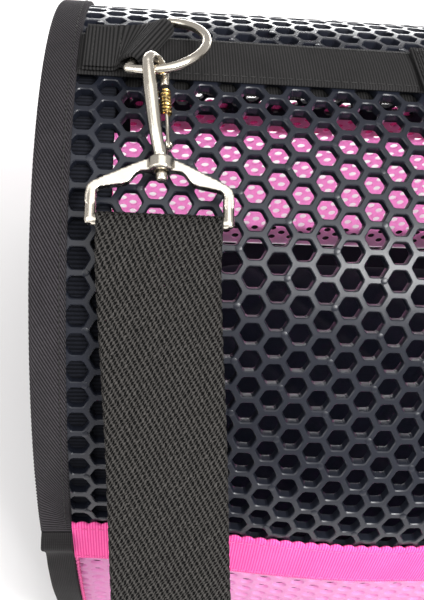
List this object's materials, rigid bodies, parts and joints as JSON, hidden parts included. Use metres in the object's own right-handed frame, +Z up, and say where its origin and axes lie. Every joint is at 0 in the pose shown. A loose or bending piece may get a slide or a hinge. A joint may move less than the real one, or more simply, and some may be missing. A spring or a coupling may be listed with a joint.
{
  "type": "pet carrier bag",
  "caption": "Arched soft pet carrier with a honeycomb shell, mesh side walls, zipped end door, top handle and a clip-on shoulder strap.",
  "frame": {"origin": "centre of the flat bottom, on the surface the bag stands on", "axes": "+X along the ridge towards the zipped door, -Y towards the side the shoulder strap hangs on, +Z up"},
  "size_m": [0.3982, 0.3413, 0.2729],
  "materials": {
    "honeycomb_sheet": "satin, moulded with bevelled hexagonal holes",
    "black_webbing": "ribbed and twill woven webbing",
    "black_binding": "herringbone tape",
    "black_cloth": "plain woven polyester",
    "black_mesh": "knitted air mesh",
    "pink_mesh": "knitted mesh with staggered holes",
    "pink_tape": "ribbed tape with a scalloped edge",
    "pad_cloth": "quilted plush",
    "bright_metal": "polished nickel, slightly warm",
    "spring_brass": "bright drawn wire",
    "zip_plastic": "moulded coil teeth",
    "stiff_board": "plain extruded sheet",
    "hoop_steel": "plain spring wire"
  },
  "bodies": {
    "bag": {"base_board": "stiff_board", "bottom_panel": "black_cloth", "floor_pad": "pad_cloth", "honeycomb_front": "honeycomb_sheet", "honeycomb_back": "honeycomb_sheet", "ridge_webbing": "black_webbing", "ridge_lining_tape": "black_cloth", "end_binding_left": "black_binding", "end_binding_right": "black_binding", "seam_tape_left": "black_cloth", "seam_tape_right": "black_cloth", "hoop_wire_left": "hoop_steel", "hoop_wire_right": "hoop_steel", "end_panel_left": "black_mesh", "door_border": "black_cloth", "zip_chain_fixed": "zip_plastic", "zip_slider": "bright_metal", "mesh_wall_front": "pink_mesh", "mesh_wall_back": "pink_mesh", "joining_tape_front": "pink_tape", "joining_tape_back": "pink_tape", "corner_trim_left": "black_cloth", "corner_trim_right": "black_cloth", "bottom_hem": "black_cloth", "ring_tape_left": "black_webbing", "ring_tape_right": "black_webbing", "handle_feet": "black_webbing"},
    "door": {"door_panel": "black_mesh", "zip_chain_door": "zip_plastic"},
    "zip_pull_tab": {"zip_pull": "bright_metal"},
    "ring_left": {"d_ring_left": "bright_metal"},
    "ring_right": {"d_ring_right": "bright_metal"},
    "bracket_left": {"hook_bracket_left": "bright_metal"},
    "bracket_right": {"hook_bracket_right": "bright_metal"},
    "hook_left": {"snap_hook_left": "bright_metal"},
    "hook_right": {"snap_hook_right": "bright_metal"},
    "gate_left": {"hook_gate_left": "bright_metal", "gate_spring_left": "spring_brass"},
    "gate_right": {"hook_gate_right": "bright_metal", "gate_spring_right": "spring_brass"},
    "strap": {"shoulder_strap": "black_webbing", "strap_return": "black_webbing", "strap_folds": "black_webbing", "strap_slider": "bright_metal"},
    "handle": {"handle_webbing": "black_webbing", "handle_grip": "black_cloth"}
  },
  "joints": [
    {"name": "door_hinge", "type": "hinge", "parent": "bag", "child": "door", "pos_m": [0.1962, 0, 0.026], "axis": [0, 1, 0], "range_deg": [0, 95]},
    {"name": "zip_pull_swing", "type": "hinge", "parent": "bag", "child": "zip_pull_tab", "pos_m": [0.1999, 0.103, 0.0165], "axis": [0, -1, 0], "range_deg": [0, 90]},
    {"name": "ring_rock_left", "type": "hinge", "parent": "bag", "child": "ring_left", "pos_m": [-0.16163, 0.00065, 0.23494], "axis": [0.4086, 0.9116, -0.0444], "range_deg": [-1.5, 1.5]},
    {"name": "ring_rock_right", "type": "hinge", "parent": "bag", "child": "ring_right", "pos_m": [0.16163, 0.00065, 0.23494], "axis": [-0.4086, 0.9116, -0.0444], "range_deg": [-1.5, 1.5]},
    {"name": "hook_swing_left", "type": "hinge", "parent": "bag", "child": "bracket_left", "pos_m": [-0.1595, -0.01697, 0.2376], "axis": [-1, 0, 0], "range_deg": [0, 100]},
    {"name": "hook_swing_right", "type": "hinge", "parent": "bag", "child": "bracket_right", "pos_m": [0.1595, -0.01697, 0.2376], "axis": [-1, 0, 0], "range_deg": [0, 100]},
    {"name": "strap_swing", "type": "hinge", "parent": "bracket_left", "child": "strap", "pos_m": [-0.1573, -0.06606, 0.21913], "axis": [-1, 0, 0], "range_deg": [0, 60]},
    {"name": "hook_swivel_left", "type": "hinge", "parent": "bracket_left", "child": "hook_left", "pos_m": [-0.1573, -0.04866, 0.22598], "axis": [-0.0732, 0.9279, 0.3655], "range_deg": [-3, 3]},
    {"name": "hook_swivel_right", "type": "hinge", "parent": "bracket_right", "child": "hook_right", "pos_m": [0.1573, -0.04866, 0.22598], "axis": [-0.0732, -0.9279, -0.3655], "range_deg": [-3, 3]},
    {"name": "gate_left_hinge", "type": "hinge", "parent": "hook_left", "child": "gate_left", "pos_m": [-0.15489, -0.0382, 0.22535], "axis": [0.8169, -0.1544, 0.5557], "range_deg": [0, 15], "stiffness_Nm_per_rad": 0.02, "springref_deg": -5.73},
    {"name": "gate_right_hinge", "type": "hinge", "parent": "hook_right", "child": "gate_right", "pos_m": [0.15489, -0.0382, 0.22535], "axis": [0.8169, 0.1544, -0.5557], "range_deg": [0, 15], "stiffness_Nm_per_rad": 0.02, "springref_deg": -5.73},
    {"name": "handle_fold", "type": "hinge", "parent": "bag", "child": "handle", "pos_m": [0, 0, 0.2387], "axis": [1, 0, 0], "range_deg": [-35, 35]}
  ],
  "couplings": [
    {"joint": "hook_swing_right", "follows": "hook_swing_left", "ratio": 1}
  ]
}
